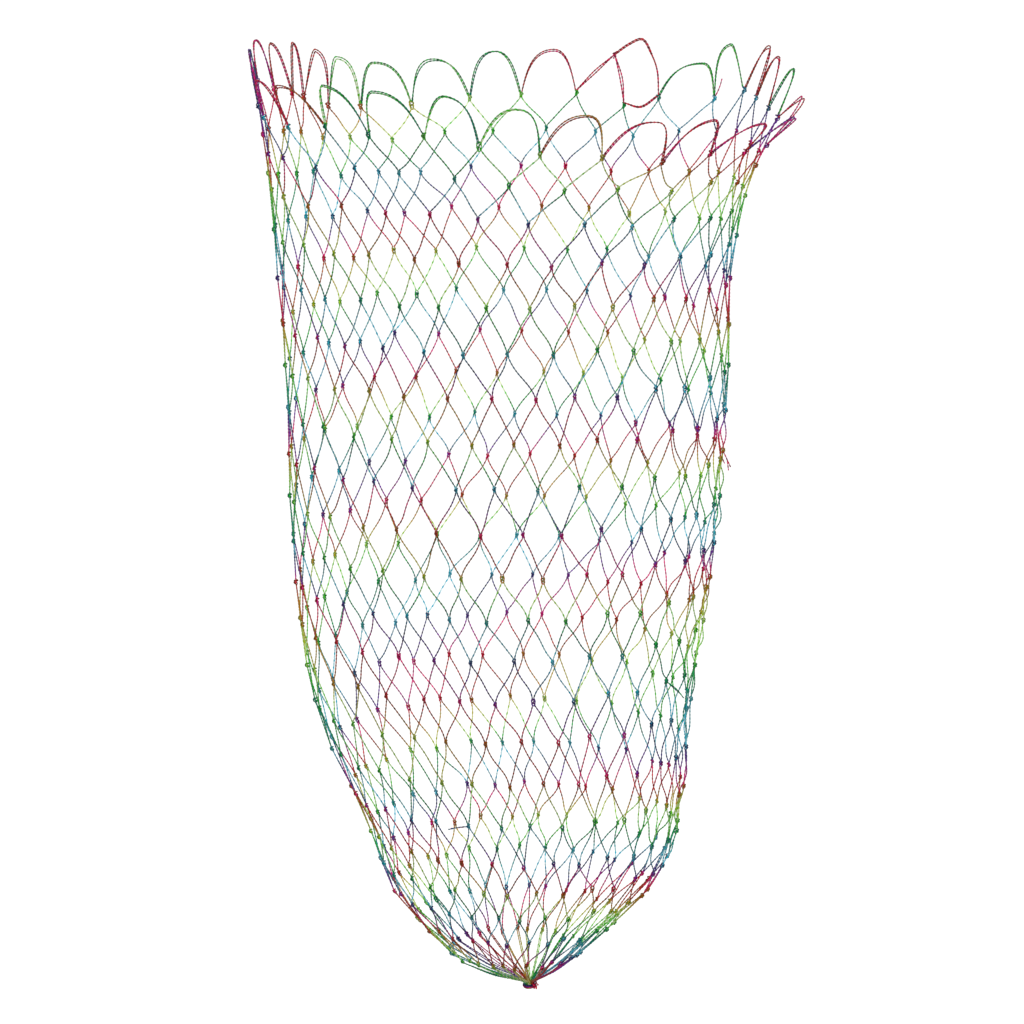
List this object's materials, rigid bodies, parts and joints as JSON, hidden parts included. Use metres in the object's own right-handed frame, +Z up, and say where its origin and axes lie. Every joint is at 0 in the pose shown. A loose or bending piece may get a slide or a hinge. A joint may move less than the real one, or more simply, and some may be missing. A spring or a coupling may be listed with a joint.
{
  "type": "landing net bag",
  "caption": "Hand-knotted diamond-mesh net bag of striped nylon twine, with doubled-twine loops round the mouth for a hoop and a gathered point at the bottom.",
  "frame": {"origin": "middle of the hoop line, the circle on which the rim loops' crowns hang", "axes": "+Z up, out of the mouth; -Y the side seen from the front; the bag hangs down along -Z"},
  "size_m": [0.2678, 0.2532, 0.4786],
  "materials": {
    "mesh_twine": "twisted nylon, striped",
    "knot_twine": "tied nylon, striped",
    "rim_twine": "doubled twisted nylon",
    "gather_twine": "wound nylon twine",
    "cut_ends": "cut twisted nylon"
  },
  "bodies": {
    "rim": {"knots_row_00": "knot_twine", "cut_tail_rim": "cut_ends"},
    "twine_01": {"twine_row_01": "mesh_twine"},
    "knots_01": {"knots_row_01": "knot_twine"},
    "twine_02": {"twine_row_02": "mesh_twine"},
    "knots_02": {"knots_row_02": "knot_twine"},
    "twine_03": {"twine_row_03": "mesh_twine"},
    "knots_03": {"knots_row_03": "knot_twine"},
    "twine_04": {"twine_row_04": "mesh_twine"},
    "knots_04": {"knots_row_04": "knot_twine"},
    "twine_05": {"twine_row_05": "mesh_twine"},
    "knots_05": {"knots_row_05": "knot_twine"},
    "twine_06": {"twine_row_06": "mesh_twine"},
    "knots_06": {"knots_row_06": "knot_twine"},
    "twine_07": {"twine_row_07": "mesh_twine"},
    "knots_07": {"knots_row_07": "knot_twine"},
    "twine_08": {"twine_row_08": "mesh_twine"},
    "knots_08": {"knots_row_08": "knot_twine", "cut_tails_row_08": "cut_ends"},
    "twine_09": {"twine_row_09": "mesh_twine"},
    "knots_09": {"knots_row_09": "knot_twine"},
    "twine_10": {"twine_row_10": "mesh_twine"},
    "knots_10": {"knots_row_10": "knot_twine"},
    "twine_11": {"twine_row_11": "mesh_twine"},
    "knots_11": {"knots_row_11": "knot_twine"},
    "twine_12": {"twine_row_12": "mesh_twine"},
    "knots_12": {"knots_row_12": "knot_twine"},
    "twine_13": {"twine_row_13": "mesh_twine"},
    "knots_13": {"knots_row_13": "knot_twine", "cut_tails_row_13": "cut_ends"},
    "twine_14": {"twine_row_14": "mesh_twine"},
    "knots_14": {"knots_row_14": "knot_twine"},
    "twine_15": {"twine_row_15": "mesh_twine"},
    "knots_15": {"knots_row_15": "knot_twine"},
    "twine_16": {"twine_row_16": "mesh_twine"},
    "knots_16": {"knots_row_16": "knot_twine", "cut_tail_row_16": "cut_ends"},
    "twine_17": {"twine_row_17": "mesh_twine"},
    "knots_17": {"knots_row_17": "knot_twine"},
    "twine_18": {"twine_row_18": "mesh_twine"},
    "knots_18": {"knots_row_18": "knot_twine"},
    "twine_19": {"twine_row_19": "mesh_twine"},
    "knots_19": {"knots_row_19": "knot_twine"},
    "twine_20": {"twine_row_20": "mesh_twine"},
    "knots_20": {"knots_row_20": "knot_twine"},
    "twine_21": {"twine_row_21": "mesh_twine"},
    "knots_21": {"knots_row_21": "knot_twine"},
    "twine_22": {"twine_row_22": "mesh_twine"},
    "gather": {"gather_tie": "gather_twine"},
    "loops_01": {"rim_loops_01": "rim_twine"},
    "loops_02": {"rim_loops_02": "rim_twine"},
    "loops_03": {"rim_loops_03": "rim_twine"},
    "loops_04": {"rim_loops_04": "rim_twine"},
    "loops_05": {"rim_loops_05": "rim_twine"},
    "loops_06": {"rim_loops_06": "rim_twine"},
    "loops_07": {"rim_loops_07": "rim_twine"},
    "loops_08": {"rim_loops_08": "rim_twine"},
    "loops_09": {"rim_loops_09": "rim_twine"},
    "loops_10": {"rim_loops_10": "rim_twine"}
  },
  "joints": [
    {"name": "row_01_sway", "type": "slide", "parent": "rim", "child": "twine_01", "axis": [1, 0, 0], "range_m": [-0.0025, 0.0025], "stiffness_N_per_m": 8},
    {"name": "row_01_lift", "type": "slide", "parent": "twine_01", "child": "knots_01", "axis": [0, 0, 1], "range_m": [0, 0.00456], "deforming": ["twine_row_01"]},
    {"name": "row_02_sway", "type": "slide", "parent": "knots_01", "child": "twine_02", "axis": [0, 1, 0], "range_m": [-0.0025, 0.0025], "stiffness_N_per_m": 8},
    {"name": "row_02_lift", "type": "slide", "parent": "twine_02", "child": "knots_02", "axis": [0, 0, 1], "range_m": [0, 0.00489], "deforming": ["twine_row_02"]},
    {"name": "row_03_sway", "type": "slide", "parent": "knots_02", "child": "twine_03", "axis": [1, 0, 0], "range_m": [-0.0025, 0.0025], "stiffness_N_per_m": 8},
    {"name": "row_03_lift", "type": "slide", "parent": "twine_03", "child": "knots_03", "axis": [0, 0, 1], "range_m": [0, 0.00551], "deforming": ["twine_row_03"]},
    {"name": "row_04_sway", "type": "slide", "parent": "knots_03", "child": "twine_04", "axis": [0, 1, 0], "range_m": [-0.0025, 0.0025], "stiffness_N_per_m": 8},
    {"name": "row_04_lift", "type": "slide", "parent": "twine_04", "child": "knots_04", "axis": [0, 0, 1], "range_m": [0, 0.0057], "deforming": ["twine_row_04"]},
    {"name": "row_05_sway", "type": "slide", "parent": "knots_04", "child": "twine_05", "axis": [1, 0, 0], "range_m": [-0.0025, 0.0025], "stiffness_N_per_m": 8},
    {"name": "row_05_lift", "type": "slide", "parent": "twine_05", "child": "knots_05", "axis": [0, 0, 1], "range_m": [0, 0.0058], "deforming": ["twine_row_05"]},
    {"name": "row_06_sway", "type": "slide", "parent": "knots_05", "child": "twine_06", "axis": [0, 1, 0], "range_m": [-0.0025, 0.0025], "stiffness_N_per_m": 8},
    {"name": "row_06_lift", "type": "slide", "parent": "twine_06", "child": "knots_06", "axis": [0, 0, 1], "range_m": [0, 0.0058], "deforming": ["twine_row_06"]},
    {"name": "row_07_sway", "type": "slide", "parent": "knots_06", "child": "twine_07", "axis": [1, 0, 0], "range_m": [-0.0025, 0.0025], "stiffness_N_per_m": 8},
    {"name": "row_07_lift", "type": "slide", "parent": "twine_07", "child": "knots_07", "axis": [0, 0, 1], "range_m": [0, 0.00582], "deforming": ["twine_row_07"]},
    {"name": "row_08_sway", "type": "slide", "parent": "knots_07", "child": "twine_08", "axis": [0, 1, 0], "range_m": [-0.0025, 0.0025], "stiffness_N_per_m": 8},
    {"name": "row_08_lift", "type": "slide", "parent": "twine_08", "child": "knots_08", "axis": [0, 0, 1], "range_m": [0, 0.00588], "deforming": ["twine_row_08"]},
    {"name": "row_09_sway", "type": "slide", "parent": "knots_08", "child": "twine_09", "axis": [1, 0, 0], "range_m": [-0.0025, 0.0025], "stiffness_N_per_m": 8},
    {"name": "row_09_lift", "type": "slide", "parent": "twine_09", "child": "knots_09", "axis": [0, 0, 1], "range_m": [0, 0.00587], "deforming": ["twine_row_09"]},
    {"name": "row_10_sway", "type": "slide", "parent": "knots_09", "child": "twine_10", "axis": [0, 1, 0], "range_m": [-0.0025, 0.0025], "stiffness_N_per_m": 8},
    {"name": "row_10_lift", "type": "slide", "parent": "twine_10", "child": "knots_10", "axis": [0, 0, 1], "range_m": [0, 0.00577], "deforming": ["twine_row_10"]},
    {"name": "row_11_sway", "type": "slide", "parent": "knots_10", "child": "twine_11", "axis": [1, 0, 0], "range_m": [-0.0025, 0.0025], "stiffness_N_per_m": 8},
    {"name": "row_11_lift", "type": "slide", "parent": "twine_11", "child": "knots_11", "axis": [0, 0, 1], "range_m": [0, 0.00562], "deforming": ["twine_row_11"]},
    {"name": "row_12_sway", "type": "slide", "parent": "knots_11", "child": "twine_12", "axis": [0, 1, 0], "range_m": [-0.0025, 0.0025], "stiffness_N_per_m": 8},
    {"name": "row_12_lift", "type": "slide", "parent": "twine_12", "child": "knots_12", "axis": [0, 0, 1], "range_m": [0, 0.00551], "deforming": ["twine_row_12"]},
    {"name": "row_13_sway", "type": "slide", "parent": "knots_12", "child": "twine_13", "axis": [1, 0, 0], "range_m": [-0.0025, 0.0025], "stiffness_N_per_m": 8},
    {"name": "row_13_lift", "type": "slide", "parent": "twine_13", "child": "knots_13", "axis": [0, 0, 1], "range_m": [0, 0.00552], "deforming": ["twine_row_13"]},
    {"name": "row_14_sway", "type": "slide", "parent": "knots_13", "child": "twine_14", "axis": [0, 1, 0], "range_m": [-0.0025, 0.0025], "stiffness_N_per_m": 8},
    {"name": "row_14_lift", "type": "slide", "parent": "twine_14", "child": "knots_14", "axis": [0, 0, 1], "range_m": [0, 0.00562], "deforming": ["twine_row_14"]},
    {"name": "row_15_sway", "type": "slide", "parent": "knots_14", "child": "twine_15", "axis": [1, 0, 0], "range_m": [-0.0025, 0.0025], "stiffness_N_per_m": 8},
    {"name": "row_15_lift", "type": "slide", "parent": "twine_15", "child": "knots_15", "axis": [0, 0, 1], "range_m": [0, 0.00596], "deforming": ["twine_row_15"]},
    {"name": "row_16_sway", "type": "slide", "parent": "knots_15", "child": "twine_16", "axis": [0, 1, 0], "range_m": [-0.0025, 0.0025], "stiffness_N_per_m": 8},
    {"name": "row_16_lift", "type": "slide", "parent": "twine_16", "child": "knots_16", "axis": [0, 0, 1], "range_m": [0, 0.00609], "deforming": ["twine_row_16"]},
    {"name": "row_17_sway", "type": "slide", "parent": "knots_16", "child": "twine_17", "axis": [1, 0, 0], "range_m": [-0.0025, 0.0025], "stiffness_N_per_m": 8},
    {"name": "row_17_lift", "type": "slide", "parent": "twine_17", "child": "knots_17", "axis": [0, 0, 1], "range_m": [0, 0.00563], "deforming": ["twine_row_17"]},
    {"name": "row_18_sway", "type": "slide", "parent": "knots_17", "child": "twine_18", "axis": [0, 1, 0], "range_m": [-0.0025, 0.0025], "stiffness_N_per_m": 8},
    {"name": "row_18_lift", "type": "slide", "parent": "twine_18", "child": "knots_18", "axis": [0, 0, 1], "range_m": [0, 0.00438], "deforming": ["twine_row_18"]},
    {"name": "row_19_sway", "type": "slide", "parent": "knots_18", "child": "twine_19", "axis": [1, 0, 0], "range_m": [-0.0025, 0.0025], "stiffness_N_per_m": 8},
    {"name": "row_19_lift", "type": "slide", "parent": "twine_19", "child": "knots_19", "axis": [0, 0, 1], "range_m": [0, 0.00399], "deforming": ["twine_row_19"]},
    {"name": "row_20_sway", "type": "slide", "parent": "knots_19", "child": "twine_20", "axis": [0, 1, 0], "range_m": [-0.0025, 0.0025], "stiffness_N_per_m": 8},
    {"name": "row_20_lift", "type": "slide", "parent": "twine_20", "child": "knots_20", "axis": [0, 0, 1], "range_m": [0, 0.00456], "deforming": ["twine_row_20"]},
    {"name": "row_21_sway", "type": "slide", "parent": "knots_20", "child": "twine_21", "axis": [1, 0, 0], "range_m": [-0.0025, 0.0025], "stiffness_N_per_m": 8},
    {"name": "row_21_lift", "type": "slide", "parent": "twine_21", "child": "knots_21", "axis": [0, 0, 1], "range_m": [0, 0.00476], "deforming": ["twine_row_21"]},
    {"name": "row_22_sway", "type": "slide", "parent": "knots_21", "child": "twine_22", "axis": [0, 1, 0], "range_m": [-0.0025, 0.0025], "stiffness_N_per_m": 8},
    {"name": "row_22_lift", "type": "slide", "parent": "twine_22", "child": "gather", "axis": [0, 0, 1], "range_m": [0, 0.00513], "deforming": ["twine_row_22"]},
    {"name": "loops_01_tip", "type": "hinge", "parent": "rim", "child": "loops_01", "pos_m": [0.03123, -0.11211, -0.0237], "axis": [0.9607, 0.2777, 0], "range_deg": [-20, 20], "stiffness_Nm_per_rad": 0.001},
    {"name": "loops_02_tip", "type": "hinge", "parent": "rim", "child": "loops_02", "pos_m": [0.10294, -0.0609, -0.02804], "axis": [0.6002, 0.7999, 0], "range_deg": [-20, 20], "stiffness_Nm_per_rad": 0.001},
    {"name": "loops_03_tip", "type": "hinge", "parent": "rim", "child": "loops_03", "pos_m": [0.12867, 0.00951, -0.01784], "axis": [-0.0185, 0.9998, 0], "range_deg": [-20, 20], "stiffness_Nm_per_rad": 0.001},
    {"name": "loops_04_tip", "type": "hinge", "parent": "rim", "child": "loops_04", "pos_m": [0.10733, 0.06302, -0.01241], "axis": [-0.6809, 0.7324, 0], "range_deg": [-20, 20], "stiffness_Nm_per_rad": 0.001},
    {"name": "loops_05_tip", "type": "hinge", "parent": "rim", "child": "loops_05", "pos_m": [0.04648, 0.10802, -0.01721], "axis": [-0.9251, 0.3798, 0], "range_deg": [-20, 20], "stiffness_Nm_per_rad": 0.001},
    {"name": "loops_06_tip", "type": "hinge", "parent": "rim", "child": "loops_06", "pos_m": [-0.03254, 0.11196, -0.01924], "axis": [-0.9584, -0.2855, 0], "range_deg": [-20, 20], "stiffness_Nm_per_rad": 0.001},
    {"name": "loops_07_tip", "type": "hinge", "parent": "rim", "child": "loops_07", "pos_m": [-0.09229, 0.07588, -0.01573], "axis": [-0.6531, -0.7573, 0], "range_deg": [-20, 20], "stiffness_Nm_per_rad": 0.001},
    {"name": "loops_08_tip", "type": "hinge", "parent": "rim", "child": "loops_08", "pos_m": [-0.11464, 0.02393, -0.00702], "axis": [-0.1717, -0.9852, 0], "range_deg": [-20, 20], "stiffness_Nm_per_rad": 0.001},
    {"name": "loops_09_tip", "type": "hinge", "parent": "rim", "child": "loops_09", "pos_m": [-0.10413, -0.05066, -0.01314], "axis": [0.4254, -0.905, 0], "range_deg": [-20, 20], "stiffness_Nm_per_rad": 0.001},
    {"name": "loops_10_tip", "type": "hinge", "parent": "rim", "child": "loops_10", "pos_m": [-0.04804, -0.10703, -0.01523], "axis": [0.9123, -0.4095, 0], "range_deg": [-20, 20], "stiffness_Nm_per_rad": 0.001}
  ],
  "couplings": [
    {"joint": "row_02_lift", "follows": "row_01_lift", "ratio": 1.072},
    {"joint": "row_03_sway", "follows": "row_01_sway", "ratio": 1},
    {"joint": "row_03_lift", "follows": "row_01_lift", "ratio": 1.207},
    {"joint": "row_04_sway", "follows": "row_02_sway", "ratio": 1},
    {"joint": "row_04_lift", "follows": "row_01_lift", "ratio": 1.25},
    {"joint": "row_05_sway", "follows": "row_01_sway", "ratio": 1},
    {"joint": "row_05_lift", "follows": "row_01_lift", "ratio": 1.272},
    {"joint": "row_06_sway", "follows": "row_02_sway", "ratio": 1},
    {"joint": "row_06_lift", "follows": "row_01_lift", "ratio": 1.272},
    {"joint": "row_07_sway", "follows": "row_01_sway", "ratio": 1},
    {"joint": "row_07_lift", "follows": "row_01_lift", "ratio": 1.277},
    {"joint": "row_08_sway", "follows": "row_02_sway", "ratio": 1},
    {"joint": "row_08_lift", "follows": "row_01_lift", "ratio": 1.29},
    {"joint": "row_09_sway", "follows": "row_01_sway", "ratio": 1},
    {"joint": "row_09_lift", "follows": "row_01_lift", "ratio": 1.286},
    {"joint": "row_10_sway", "follows": "row_02_sway", "ratio": 1},
    {"joint": "row_10_lift", "follows": "row_01_lift", "ratio": 1.266},
    {"joint": "row_11_sway", "follows": "row_01_sway", "ratio": 1},
    {"joint": "row_11_lift", "follows": "row_01_lift", "ratio": 1.232},
    {"joint": "row_12_sway", "follows": "row_02_sway", "ratio": 1},
    {"joint": "row_12_lift", "follows": "row_01_lift", "ratio": 1.209},
    {"joint": "row_13_sway", "follows": "row_01_sway", "ratio": 1},
    {"joint": "row_13_lift", "follows": "row_01_lift", "ratio": 1.21},
    {"joint": "row_14_sway", "follows": "row_02_sway", "ratio": 1},
    {"joint": "row_14_lift", "follows": "row_01_lift", "ratio": 1.232},
    {"joint": "row_15_sway", "follows": "row_01_sway", "ratio": 1},
    {"joint": "row_15_lift", "follows": "row_01_lift", "ratio": 1.307},
    {"joint": "row_16_sway", "follows": "row_02_sway", "ratio": 1},
    {"joint": "row_16_lift", "follows": "row_01_lift", "ratio": 1.335},
    {"joint": "row_17_sway", "follows": "row_01_sway", "ratio": 1},
    {"joint": "row_17_lift", "follows": "row_01_lift", "ratio": 1.235},
    {"joint": "row_18_sway", "follows": "row_02_sway", "ratio": 1},
    {"joint": "row_18_lift", "follows": "row_01_lift", "ratio": 0.961},
    {"joint": "row_19_sway", "follows": "row_01_sway", "ratio": 1},
    {"joint": "row_19_lift", "follows": "row_01_lift", "ratio": 0.874},
    {"joint": "row_20_sway", "follows": "row_02_sway", "ratio": 1},
    {"joint": "row_20_lift", "follows": "row_01_lift", "ratio": 0.999},
    {"joint": "row_21_sway", "follows": "row_01_sway", "ratio": 1},
    {"joint": "row_21_lift", "follows": "row_01_lift", "ratio": 1.043},
    {"joint": "row_22_sway", "follows": "row_02_sway", "ratio": 1},
    {"joint": "row_22_lift", "follows": "row_01_lift", "ratio": 1.125},
    {"joint": "loops_02_tip", "follows": "loops_01_tip", "ratio": 1},
    {"joint": "loops_03_tip", "follows": "loops_01_tip", "ratio": 1},
    {"joint": "loops_04_tip", "follows": "loops_01_tip", "ratio": 1},
    {"joint": "loops_05_tip", "follows": "loops_01_tip", "ratio": 1},
    {"joint": "loops_06_tip", "follows": "loops_01_tip", "ratio": 1},
    {"joint": "loops_07_tip", "follows": "loops_01_tip", "ratio": 1},
    {"joint": "loops_08_tip", "follows": "loops_01_tip", "ratio": 1},
    {"joint": "loops_09_tip", "follows": "loops_01_tip", "ratio": 1},
    {"joint": "loops_10_tip", "follows": "loops_01_tip", "ratio": 1}
  ]
}
